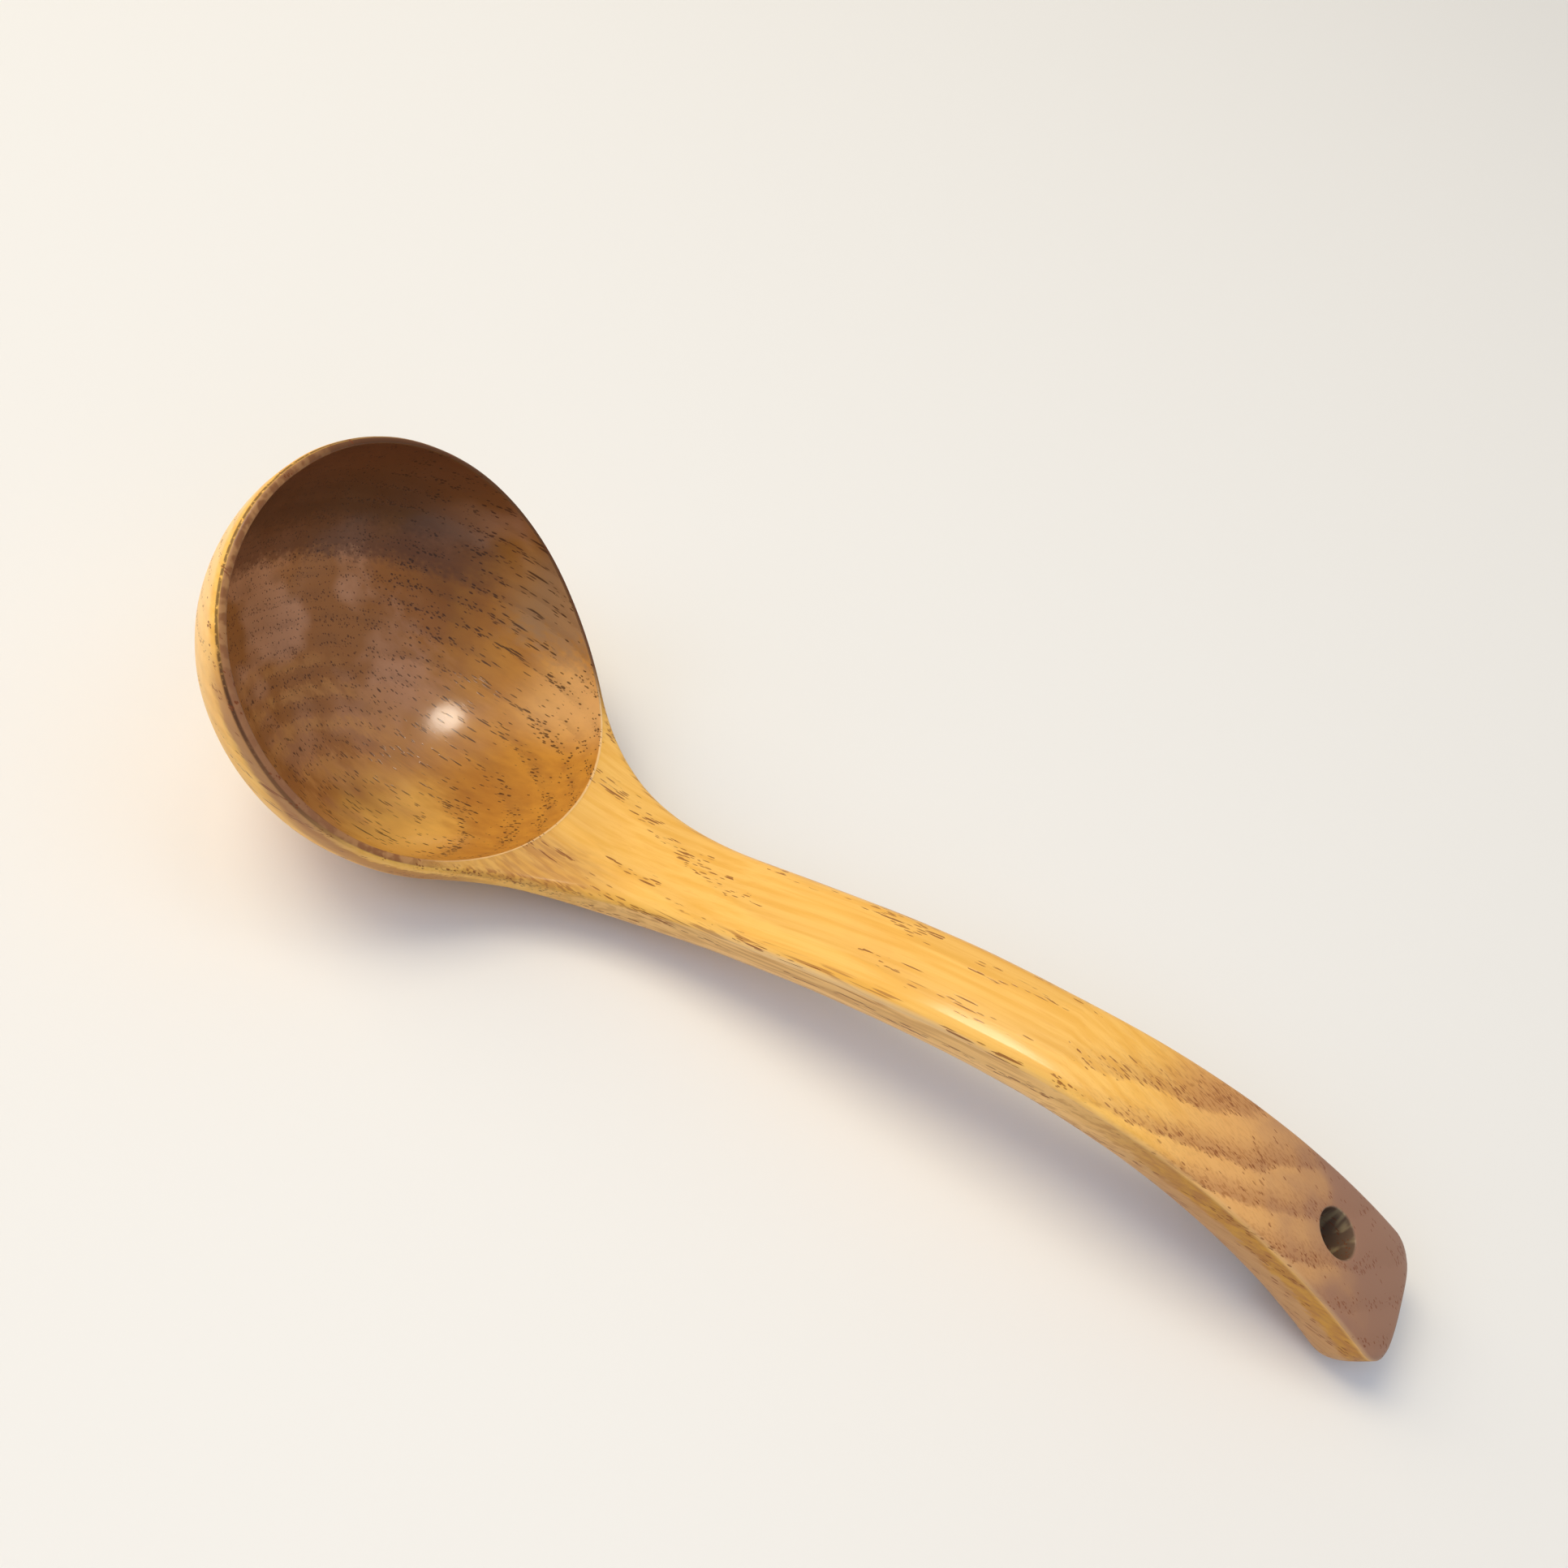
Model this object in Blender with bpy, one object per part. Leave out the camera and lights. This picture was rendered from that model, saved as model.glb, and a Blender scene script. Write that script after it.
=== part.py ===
"""Carved wooden serving ladle, one piece of wood.  Metres, +Z up.

The ladle rests on its bowl and on the tip of its handle.  Its top line is
one profile, as if sawn from a plank: straight across the bowl, up through
the neck, over the arch of the handle and down to the tip.  Sections stand
square to that profile.
"""
import math

import bpy
import numpy as np

# ---- bowl -----------------------------------------------------------------
RIM_HALF_WIDTH = 0.0375       # outside, across the ladle
RIM_HALF_LENGTH = 0.0378      # outside, along the profile
RIM_EGG = -0.057              # narrower towards the handle
BOWL_DEPTH = 0.0286           # outside, square to the rim
BOWL_DEEPEST = -0.0012        # along the profile from the rim centre
LIP_WIDTH = 0.0014            # flat of the lip, outside edge to cavity
WALL = 0.0030                 # wood under the cavity
POLE_DROP = 0.0004            # the end of the bowl closes this far under the rim

# ---- profile --------------------------------------------------------------
BOWL_SLOPE = math.radians(-41.4)
RISE_SLOPE = math.radians(15.4)
TIP_SLOPE = math.radians(-33.2)
NECK_BEND_START = -0.002
NECK_BEND_LENGTH = 0.069
ARCH_START = 0.0757
ARCH_POWER = 1.5
PROFILE_END = 0.1996          # rim centre to tip, along the profile

# ---- handle ---------------------------------------------------------------
FLARE_START = 0.0262          # where the rim starts running into the handle
FLARE_END = 0.0770
WAIST_HALF_WIDTH = 0.0092
WIDEN_FROM = 0.1254
WIDEN_POWER = 1.4
TIP_HALF_WIDTH = 0.0125
UNDER_START = 0.0083          # the same run-out, on the underside
UNDER_END = 0.0384
NECK_THICK = 0.0079
TIP_THICK = 0.0129
TOP_EDGE = 0.0012             # rounding of the edges beside the top face
TIP_CORNER = 0.0050
TIP_EDGE = 0.0014
BLEND_START = 0.010           # sections turn from bowl to handle from here
BLEND_LENGTH = 0.050
LOW_FULLNESS = (2.0, 3.2)     # bowl, handle; 2 is an ellipse, higher is squarer
TOP_FULLNESS = (3.0, 5.0)

# ---- hanging hole ---------------------------------------------------------
HOLE_RADIUS = 0.0041
HOLE_FROM_TIP = 0.0181
HOLE_ABOVE = 0.006            # how far its cutter stands out above and below
HOLE_BELOW = 0.030

# ---- resting --------------------------------------------------------------
FLAT_SINK = 0.0004            # sanded off where the ladle rests

# ---- cavity cutter --------------------------------------------------------
CAVITY_SQUARE_AT = -0.020     # along the profile, where it stands square
CAVITY_LEAN = math.radians(84.0)
CAVITY_ABOVE = 0.015          # its wall carries on this far over the rim

# ---- how finely it is built -----------------------------------------------
BOWL_STATIONS = 36
HANDLE_STATIONS = 46
TIP_STATIONS = 6
AROUND = 40
CAVITY_AROUND = 72
CAVITY_RINGS = 13
HOLE_AROUND = 40
SETTLE_ROUNDS = 6
SHARP_ANGLE = math.radians(38.0)
TABLE = (0.30, 0.10, 0.05)    # half length, half width and depth

Y_AXIS = np.array([0.0, 1.0, 0.0])


def clear():
    for obj in list(bpy.data.objects):
        bpy.data.objects.remove(obj, do_unlink=True)


def ease(value):
    value = np.clip(value, 0.0, 1.0)
    return value * value * (3.0 - 2.0 * value)


def slope(s):
    neck = ease((s - NECK_BEND_START) / NECK_BEND_LENGTH)
    arch = np.clip((s - ARCH_START) / (PROFILE_END - ARCH_START), 0.0, 1.0)
    rise = (RISE_SLOPE - BOWL_SLOPE) * neck
    return BOWL_SLOPE + rise + (TIP_SLOPE - RISE_SLOPE) * arch ** ARCH_POWER


class Profile:
    """The top line in the XZ plane, with s measured from the rim centre."""

    def __init__(self, turn=0.0):
        self.s = np.linspace(-RIM_HALF_LENGTH, PROFILE_END, 2001)
        self.angle = slope(self.s) + turn
        step = self.s[1] - self.s[0]
        mid = 0.5 * (self.angle[1:] + self.angle[:-1])
        self.x = np.concatenate([[0.0], np.cumsum(np.cos(mid) * step)])
        self.z = np.concatenate([[0.0], np.cumsum(np.sin(mid) * step)])
        self.x -= np.interp(0.0, self.s, self.x)
        self.z -= np.interp(0.0, self.s, self.z)

    def point(self, s):
        return np.array([np.interp(s, self.s, self.x), 0.0, np.interp(s, self.s, self.z)])

    def normal(self, s):
        angle = np.interp(s, self.s, self.angle)
        return np.array([-math.sin(angle), 0.0, math.cos(angle)])

    def along(self, s):
        angle = np.interp(s, self.s, self.angle)
        return np.array([math.cos(angle), 0.0, math.sin(angle)])


def bowl_half_width(s):
    q = s / RIM_HALF_LENGTH
    return RIM_HALF_WIDTH * math.sqrt(max(0.0, 1.0 - q * q)) * (1.0 + RIM_EGG * q)


def run_out(s, start, end, curve, end_value, end_rate):
    """Leave a curve at start along its own tangent and reach end_value."""
    step = 1e-5
    value = curve(start)
    rate = (curve(start + step) - value) / step
    u = (s - start) / (end - start)
    leave = value * (2.0 * u ** 3 - 3.0 * u ** 2 + 1.0)
    leave += rate * (end - start) * (u ** 3 - 2.0 * u ** 2 + u)
    reach = end_value * (3.0 * u ** 2 - 2.0 * u ** 3)
    return leave + reach + end_rate * (end - start) * (u ** 3 - u ** 2)


def half_width(s):
    if s < FLARE_START:
        return bowl_half_width(s)
    if s < FLARE_END:
        return run_out(s, FLARE_START, FLARE_END, bowl_half_width, WAIST_HALF_WIDTH, 0.0)
    u = max(0.0, (s - WIDEN_FROM) / (PROFILE_END - WIDEN_FROM))
    return WAIST_HALF_WIDTH + (TIP_HALF_WIDTH - WAIST_HALF_WIDTH) * u ** WIDEN_POWER


def bowl_depth(s):
    back = RIM_HALF_LENGTH + BOWL_DEEPEST
    front = RIM_HALF_LENGTH - BOWL_DEEPEST
    q = (s - BOWL_DEEPEST) / (back if s < BOWL_DEEPEST else front)
    return BOWL_DEPTH * math.sqrt(max(0.0, 1.0 - q * q))


def depth(s):
    if s < UNDER_START:
        return bowl_depth(s)
    growth = (TIP_THICK - NECK_THICK) / (PROFILE_END - UNDER_END)
    if s < UNDER_END:
        return run_out(s, UNDER_START, UNDER_END, bowl_depth, NECK_THICK, growth)
    return NECK_THICK + growth * (s - UNDER_END)


def inset(s, radius):
    """How far a rounded end of this radius has pulled in at s."""
    u = min(max(s - (PROFILE_END - radius), 0.0), radius)
    return radius - math.sqrt(radius * radius - u * u)


def section(profile, s):
    """One closed section: flat top with rounded edges, fuller below."""
    width = half_width(s) - inset(s, TIP_CORNER)
    trim = inset(s, TIP_EDGE)
    edge = min(TOP_EDGE, 0.4 * depth(s))
    low = depth(s) - edge - trim
    blend = float(ease((s - BLEND_START) / BLEND_LENGTH))
    low_power = 2.0 / (LOW_FULLNESS[0] + (LOW_FULLNESS[1] - LOW_FULLNESS[0]) * blend)
    top_power = 2.0 / (TOP_FULLNESS[0] + (TOP_FULLNESS[1] - TOP_FULLNESS[0]) * blend)
    base = profile.point(s) - profile.normal(s) * edge
    ring = []
    for t in np.linspace(0.0, 2.0 * math.pi, AROUND, endpoint=False):
        c, n = math.cos(t), math.sin(t)
        power = top_power if n >= 0.0 else low_power
        across = math.copysign(abs(c) ** power, c) * width
        height = (edge - trim) if n >= 0.0 else low
        up = math.copysign(abs(n) ** power, n) * height
        ring.append(base + Y_AXIS * across + profile.normal(s) * up)
    return ring


def stations():
    turn = np.linspace(0.0, math.pi / 2.0, BOWL_STATIONS + 1)[1:]
    bowl = -RIM_HALF_LENGTH * np.cos(turn)
    straight = np.linspace(0.0, PROFILE_END - TIP_CORNER, HANDLE_STATIONS + 1)[1:]
    corner = np.linspace(0.0, math.pi / 2.0, TIP_STATIONS + 1)[1:]
    tip = PROFILE_END - TIP_CORNER * (1.0 - np.sin(corner))
    return np.concatenate([bowl, straight, tip])


def join_rings(rings, first_pole=None):
    """Faces between successive rings, capped at both ends."""
    count = len(rings[0])
    verts = [tuple(p) for ring in rings for p in ring]
    faces = []
    for i in range(len(rings) - 1):
        for j in range(count):
            k = (j + 1) % count
            faces.append((i * count + j, i * count + k, (i + 1) * count + k, (i + 1) * count + j))
    last = (len(rings) - 1) * count
    faces.append(tuple(range(last, last + count)))
    if first_pole is None:
        faces.append(tuple(range(count - 1, -1, -1)))
        return verts, faces
    verts.append(tuple(first_pole))
    for j in range(count):
        faces.append((len(verts) - 1, (j + 1) % count, j))
    return verts, faces


def add_mesh(name, verts, faces):
    mesh = bpy.data.meshes.new(name)
    mesh.from_pydata(verts, [], faces)
    mesh.update()
    obj = bpy.data.objects.new(name, mesh)
    bpy.context.scene.collection.objects.link(obj)
    bpy.context.view_layer.objects.active = obj
    for other in bpy.context.selected_objects:
        other.select_set(False)
    obj.select_set(True)
    bpy.ops.object.mode_set(mode="EDIT")
    bpy.ops.mesh.select_all(action="SELECT")
    bpy.ops.mesh.normals_make_consistent(inside=False)
    bpy.ops.object.mode_set(mode="OBJECT")
    return obj


def cavity_edge(profile, turn):
    length = RIM_HALF_LENGTH - LIP_WIDTH
    s = length * math.cos(turn)
    egg = 1.0 + RIM_EGG * math.cos(turn)
    y = (RIM_HALF_WIDTH - LIP_WIDTH) * math.sin(turn) * egg
    return profile.point(s) + Y_AXIS * y


def cavity(profile):
    """The hollow of the bowl, its wall carried on up above the rim."""
    up = profile.normal(CAVITY_SQUARE_AT)
    centre = profile.point(BOWL_DEEPEST)
    deep = BOWL_DEPTH - WALL
    edges = []
    for turn in np.linspace(0.0, 2.0 * math.pi, CAVITY_AROUND, endpoint=False):
        edges.append(cavity_edge(profile, turn))
    rings = []
    for lean in np.linspace(0.0, CAVITY_LEAN, CAVITY_RINGS)[1:]:
        ring = []
        for edge in edges:
            arm = edge - centre
            rise = float(np.dot(arm, up))
            flat = arm - up * rise
            lift = rise * math.sin(lean) ** 2 - deep * math.cos(lean)
            ring.append(centre + flat * math.sin(lean) + up * lift)
        rings.append(ring)
    rings.append([edge + up * CAVITY_ABOVE for edge in edges])
    return join_rings(rings, first_pole=centre - up * deep)


def hole(profile):
    s = PROFILE_END - HOLE_FROM_TIP
    up = profile.normal(s)
    along = profile.along(s)
    centre = profile.point(s)
    rings = []
    for height in (HOLE_ABOVE, -HOLE_BELOW):
        ring = []
        for turn in np.linspace(0.0, 2.0 * math.pi, HOLE_AROUND, endpoint=False):
            spoke = along * math.cos(turn) + Y_AXIS * math.sin(turn)
            ring.append(centre + spoke * HOLE_RADIUS + up * height)
        rings.append(ring)
    return join_rings(rings)


def low_points(profile):
    """Lowest point of the bowl and of the tip."""
    bowl = [p for s in np.linspace(-0.03, 0.06, 181) for p in section(profile, s)]
    tip = [p for s in np.linspace(PROFILE_END - 0.012, PROFILE_END, 25) for p in section(profile, s)]
    return min(bowl, key=lambda p: p[2]), min(tip, key=lambda p: p[2])


def settle():
    """Tip the ladle until bowl and handle tip stand on one plane."""
    turn = 0.0
    for _ in range(SETTLE_ROUNDS):
        profile = Profile(turn)
        bowl, tip = low_points(profile)
        turn -= math.atan2(tip[2] - bowl[2], tip[0] - bowl[0])
    return Profile(turn)


def place(profile, lowest):
    """Stand the ladle on z = 0 with its box centred over the origin."""
    profile.z -= lowest + FLAT_SINK
    points = np.array([p for s in stations() for p in section(profile, s)])
    profile.x -= 0.5 * (points[:, 0].max() + points[:, 0].min())


def box(name, low, high):
    spans = list(zip(low, high))
    verts = [(x, y, z) for x in spans[0] for y in spans[1] for z in spans[2]]
    faces = [(0, 1, 3, 2), (4, 6, 7, 5), (0, 4, 5, 1), (2, 3, 7, 6), (0, 2, 6, 4), (1, 5, 7, 3)]
    return add_mesh(name, verts, faces)


def cut(obj, cutter):
    cutter.hide_render = True
    cutter.display_type = "WIRE"
    mod = obj.modifiers.new(cutter.name, "BOOLEAN")
    mod.operation = "DIFFERENCE"
    mod.solver = "EXACT"
    mod.object = cutter
    bpy.context.view_layer.objects.active = obj
    bpy.ops.object.modifier_apply(modifier=mod.name)
    bpy.data.objects.remove(cutter, do_unlink=True)


def wood():
    mat = bpy.data.materials.new("lacquered_wood")
    mat.use_nodes = True
    shader = mat.node_tree.nodes["Principled BSDF"]
    shader.inputs["Base Color"].default_value = (0.56, 0.25, 0.06, 1.0)
    shader.inputs["Roughness"].default_value = 0.32
    shader.inputs["Coat Weight"].default_value = 0.4
    shader.inputs["Coat Roughness"].default_value = 0.12
    return mat


def main():
    clear()
    profile = settle()
    bowl, _ = low_points(profile)
    place(profile, bowl[2])
    end = -RIM_HALF_LENGTH
    pole = profile.point(end) - profile.normal(end) * POLE_DROP
    verts, faces = join_rings([section(profile, s) for s in stations()], first_pole=pole)
    ladle = add_mesh("ladle", verts, faces)
    cut(ladle, add_mesh("cut_cavity", *cavity(profile)))
    cut(ladle, add_mesh("cut_hole", *hole(profile)))
    cut(ladle, box("cut_table", [-side for side in TABLE], (TABLE[0], TABLE[1], 0.0)))
    ladle.data.materials.append(wood())
    ladle.data.polygons.foreach_set("use_smooth", [True] * len(ladle.data.polygons))
    ladle.data.set_sharp_from_angle(angle=SHARP_ANGLE)


main()
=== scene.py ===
"""Looks of a carved wooden ladle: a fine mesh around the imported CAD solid, and lacquered wood.

The outline is symmetric about y = 0.  The top line is one profile in the XZ plane, and s is the
distance along that profile from the middle of the rim.  A plan point (s, y) with a height h square
to the profile is enough to place every vertex.  Lengths are in metres.
"""

import math

import bmesh
import bpy
import numpy as np
from mathutils import Matrix, Vector, noise

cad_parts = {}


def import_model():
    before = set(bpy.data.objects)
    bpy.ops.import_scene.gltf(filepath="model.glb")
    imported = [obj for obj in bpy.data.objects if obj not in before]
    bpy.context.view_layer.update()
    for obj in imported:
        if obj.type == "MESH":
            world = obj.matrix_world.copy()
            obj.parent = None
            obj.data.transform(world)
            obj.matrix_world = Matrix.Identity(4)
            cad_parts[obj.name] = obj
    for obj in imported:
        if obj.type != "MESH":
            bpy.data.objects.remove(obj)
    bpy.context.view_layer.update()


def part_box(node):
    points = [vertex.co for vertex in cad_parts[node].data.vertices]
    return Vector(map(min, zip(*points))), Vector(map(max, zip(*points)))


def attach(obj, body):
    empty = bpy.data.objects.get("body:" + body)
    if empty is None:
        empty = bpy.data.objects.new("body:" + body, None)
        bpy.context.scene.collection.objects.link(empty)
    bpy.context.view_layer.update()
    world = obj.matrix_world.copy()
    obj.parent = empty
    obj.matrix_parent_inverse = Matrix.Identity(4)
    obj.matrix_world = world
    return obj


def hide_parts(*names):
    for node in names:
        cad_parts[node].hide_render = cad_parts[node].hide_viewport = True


MM = 0.001

# ---- the ladle's driving dimensions, the same as the CAD part's -------------------------------
RIM_HALF_WIDTH = 0.0375
RIM_HALF_LENGTH = 0.0378
RIM_EGG = -0.057
BOWL_DEPTH = 0.0286
BOWL_DEEPEST = -0.0012
LIP_WIDTH = 0.0014
WALL = 0.0030
BOWL_SLOPE = math.radians(-41.4)
RISE_SLOPE = math.radians(15.4)
TIP_SLOPE = math.radians(-33.2)
NECK_BEND_START = -0.002
NECK_BEND_LENGTH = 0.069
ARCH_START = 0.0757
ARCH_POWER = 1.5
PROFILE_END = 0.1996
FLARE_START = 0.0262
FLARE_END = 0.0770
WAIST_HALF_WIDTH = 0.0092
WIDEN_FROM = 0.1254
WIDEN_POWER = 1.4
TIP_HALF_WIDTH = 0.0125
UNDER_START = 0.0083
UNDER_END = 0.0384
NECK_THICK = 0.0079
TIP_THICK = 0.0129
TIP_CORNER = 0.0050
HOLE_RADIUS = 0.0041
HOLE_FROM_TIP = 0.0181

# ---- roundings that only the fine mesh has ----------------------------------------------------
LIP_ROUND = 0.0010            # outside edge of the lip, wide and high
EDGE_WIDE = 0.0014            # the eased edges beside the handle's top face
EDGE_HIGH = 0.0011
TIP_ROUND = 0.0006            # the same edges are crisper by the tip
FAR_LIP_THIN = 0.60           # the lip is thinner on the +Y side
INNER_ROUND = 0.00035         # crisp edge between the top and the cavity
END_ROUND = 0.0050            # how the tip turns down to its end face
END_POWER = 4.0
CROWN = 0.0010                # the handle's top face is very slightly crowned
CROWN_FROM = 0.034
CROWN_LENGTH = 0.020
BULGE_FADE = 0.040            # the rows near the bowl follow its rim, and straighten over this
CAVITY_LEAN = math.radians(88.4)
BORE_BLOCK = 0.0064
HOLE_ROUND = 0.0003
CARVED = 0.00012              # unevenness left by hand sanding
CARVED_GRAIN = 55.0           # humps to a metre
CARVED_FINER = 2.3            # a second set, this much finer and half as high
CARVED_SHIFT = (7.0, 3.0, 1.0)
EASE_FROM = 0.030             # where the lip's edge turns into the handle's
EASE_LENGTH = 0.030
CRISP_FROM = 0.120            # where the handle's edge turns into the tip's
CRISP_LENGTH = 0.050
UNDER_POWER = 2.0             # the bowl's section below is an ellipse
UNDER_SQUARER = 1.2           # and the handle's is this much squarer
SQUARER_FROM = 0.010
SQUARER_LENGTH = 0.050
CAVITY_LEVEL_AT = -0.020      # the cavity is hollowed square to the profile here

# ---- how finely it is built -------------------------------------------------------------------
STRIP_COLUMNS = 40            # across the handle
RIM_COLUMNS = 150             # round the rest of the rim
STRIP_ROWS = 150
BOTTOM_RINGS = 44
CAVITY_RINGS = 48
LIP_RINGS = 8
INNER_RINGS = 3
BORE_RINGS = 6
BORE_ROUNDING = 4             # rows round each mouth of the bore, and steps down between them
BORE_STEPS = 11
END_ROWS_OUT = 7              # rows over the turn of the end face, and down it
END_ROWS_DOWN = 14
RIM_CROWDING = 0.06           # how much closer the rim's columns are by the handle
PROFILE_POINTS = 4001
RATE_STEP = 1e-5              # over which a curve's rate is measured
PLAN_ROUNDS = 12              # rounds that a search takes
BORE_ROUNDS = 10
STAND_ROUNDS = 4

# Places and limits.
HOLE_AT = PROFILE_END - HOLE_FROM_TIP
BOWL_SIDE = 0.08              # x before the ladle is placed: bowl on one side, tip on the other
WELL_INSIDE = 0.010           # said of points that are nowhere near the outline
ON_LINE = 1e-7
SHORTEST_SQUARED = 1e-14
NARROWEST = 1e-9


def ease(value):
    value = np.clip(value, 0.0, 1.0)
    return value * value * (3.0 - 2.0 * value)


# ---- the profile ------------------------------------------------------------------------------

def slope(s):
    neck = ease((s - NECK_BEND_START) / NECK_BEND_LENGTH)
    arch = np.clip((s - ARCH_START) / (PROFILE_END - ARCH_START), 0.0, 1.0)
    rise = (RISE_SLOPE - BOWL_SLOPE) * neck
    return BOWL_SLOPE + rise + (TIP_SLOPE - RISE_SLOPE) * arch ** ARCH_POWER


class Profile:
    """The top line, placed so that its ends agree with the CAD part's box."""

    def __init__(self):
        self.s = np.linspace(-RIM_HALF_LENGTH, PROFILE_END, PROFILE_POINTS)
        self.angle = slope(self.s)
        step = self.s[1] - self.s[0]
        mid = 0.5 * (self.angle[1:] + self.angle[:-1])
        self.x = np.concatenate([[0.0], np.cumsum(np.cos(mid) * step)])
        self.z = np.concatenate([[0.0], np.cumsum(np.sin(mid) * step)])

    def place(self, s, y, h):
        """World points for plan points and heights, all arrays of one shape."""
        angle = np.interp(s, self.s, self.angle)
        x = np.interp(s, self.s, self.x) - np.sin(angle) * h
        z = np.interp(s, self.s, self.z) + np.cos(angle) * h
        return np.stack([x, np.broadcast_to(y, np.shape(x)), z], axis=-1)

    def normal(self, s):
        angle = np.interp(s, self.s, self.angle)
        return np.array([-math.sin(angle), 0.0, math.cos(angle)])

    def frame(self, s):
        """Point, direction along and normal of the top line at s."""
        up = self.normal(s)
        return self.place(np.array(s), 0.0, 0.0), np.array([up[2], 0.0, -up[0]]), up

    def plan(self, points, guess):
        """Plan points and heights of world points near s = guess."""
        s = np.full(len(points), guess)
        for _ in range(PLAN_ROUNDS):
            angle = np.interp(s, self.s, self.angle)
            arm = points - self.place(s, 0.0, 0.0)
            s = s + arm[:, 0] * np.cos(angle) + arm[:, 2] * np.sin(angle)
        angle = np.interp(s, self.s, self.angle)
        arm = points - self.place(s, 0.0, 0.0)
        return s, points[:, 1], arm[:, 2] * np.cos(angle) - arm[:, 0] * np.sin(angle)


# ---- plan and depth ---------------------------------------------------------------------------

def run_out(s, start, end, curve, end_value, end_rate):
    """Leave a curve at start along its own tangent and reach end_value."""
    step = RATE_STEP
    value = curve(start)
    rate = (curve(start + step) - value) / step
    u = np.clip((s - start) / (end - start), 0.0, 1.0)
    leave = value * (2.0 * u ** 3 - 3.0 * u ** 2 + 1.0)
    leave = leave + rate * (end - start) * (u ** 3 - 2.0 * u ** 2 + u)
    reach = end_value * (3.0 * u ** 2 - 2.0 * u ** 3)
    return leave + reach + end_rate * (end - start) * (u ** 3 - u ** 2)


def bowl_half_width(s):
    q = s / RIM_HALF_LENGTH
    return RIM_HALF_WIDTH * np.sqrt(np.clip(1.0 - q * q, 0.0, 1.0)) * (1.0 + RIM_EGG * q)


def half_width(s):
    flare = run_out(s, FLARE_START, FLARE_END, bowl_half_width, WAIST_HALF_WIDTH, 0.0)
    u = np.clip((s - WIDEN_FROM) / (PROFILE_END - WIDEN_FROM), 0.0, 1.0)
    handle = WAIST_HALF_WIDTH + (TIP_HALF_WIDTH - WAIST_HALF_WIDTH) * u ** WIDEN_POWER
    corner = np.clip(s - (PROFILE_END - TIP_CORNER), 0.0, TIP_CORNER)
    handle = handle - (TIP_CORNER - np.sqrt(TIP_CORNER ** 2 - corner ** 2))
    return np.where(s < FLARE_START, bowl_half_width(s), np.where(s < FLARE_END, flare, handle))


def bowl_depth(s):
    back = RIM_HALF_LENGTH + BOWL_DEEPEST
    front = RIM_HALF_LENGTH - BOWL_DEEPEST
    q = (s - BOWL_DEEPEST) / np.where(s < BOWL_DEEPEST, back, front)
    return BOWL_DEPTH * np.sqrt(np.clip(1.0 - q * q, 0.0, 1.0))


def depth(s):
    growth = (TIP_THICK - NECK_THICK) / (PROFILE_END - UNDER_END)
    under = run_out(s, UNDER_START, UNDER_END, bowl_depth, NECK_THICK, growth)
    handle = NECK_THICK + growth * (s - UNDER_END)
    return np.where(s < UNDER_START, bowl_depth(s), np.where(s < UNDER_END, under, handle))


def edge_wide(s):
    """How far in from the outline the top starts to round over."""
    handle = LIP_ROUND + (EDGE_WIDE - LIP_ROUND) * ease((s - EASE_FROM) / EASE_LENGTH)
    return handle + (TIP_ROUND - EDGE_WIDE) * ease((s - CRISP_FROM) / CRISP_LENGTH)


def edge_high(s):
    """How far below the top face the outline lies."""
    handle = LIP_ROUND + (EDGE_HIGH - LIP_ROUND) * ease((s - EASE_FROM) / EASE_LENGTH)
    return handle + (TIP_ROUND - EDGE_HIGH) * ease((s - CRISP_FROM) / CRISP_LENGTH)


def end_drop(s):
    """1 along the handle, falling to 0 over the last few millimetres in a full curve."""
    u = np.clip((s - (PROFILE_END - END_ROUND)) / END_ROUND, 0.0, 1.0)
    return (1.0 - u ** END_POWER) ** (1.0 / END_POWER)


# ---- the grid ---------------------------------------------------------------------------------

def rim_angles():
    """Angles round the rim, fine where the handle leaves it; the first ones face the handle."""
    reach = math.acos(FLARE_START / RIM_HALF_LENGTH)
    x = np.linspace(-1.0, 1.0, STRIP_COLUMNS + 1)
    v = np.sin(0.5 * math.pi * x)
    sector = np.arcsin(v * math.sin(reach))
    u = np.linspace(0.0, 1.0, RIM_COLUMNS + 1)[1:-1]
    rest = reach + (2.0 * math.pi - 2.0 * reach) * (u - RIM_CROWDING * np.sin(2.0 * math.pi * u))
    return np.concatenate([sector, rest])


def rim_point(angle, inset=0.0):
    s = (RIM_HALF_LENGTH - inset) * np.cos(angle)
    y = (RIM_HALF_WIDTH - inset) * np.sin(angle) * (1.0 + RIM_EGG * np.cos(angle))
    return s, y


def strip_rows():
    """Where the handle's rows meet its edge: even, then close together down the end face."""
    even = np.linspace(FLARE_START, PROFILE_END - END_ROUND, STRIP_ROWS + 1)[1:]
    corner = 0.5 ** (1.0 / END_POWER)
    out = np.linspace(0.0, corner, END_ROWS_OUT + 1)[1:]
    down = np.linspace(corner, 0.0, END_ROWS_DOWN + 1)[1:]
    out = np.concatenate([out, (1.0 - down ** END_POWER) ** (1.0 / END_POWER)])
    return np.concatenate([even, PROFILE_END - END_ROUND * (1.0 - out)])


def strip_plan(angles):
    """Plan points of the handle: rows that leave the rim as its arc and straighten out."""
    arc_s, arc_y = rim_point(angles[:STRIP_COLUMNS + 1])
    bulge = arc_s - arc_s[0]
    v = arc_y / arc_y[-1]
    rows_s, rows_y = [arc_s], [arc_y]
    for edge in strip_rows():
        fade = float(1.0 - ease((edge - FLARE_START) / BULGE_FADE))
        rows_s.append(edge + bulge * fade)
        rows_y.append(v * half_width(np.array(edge)))
    return np.array(rows_s), np.array(rows_y)


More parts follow.
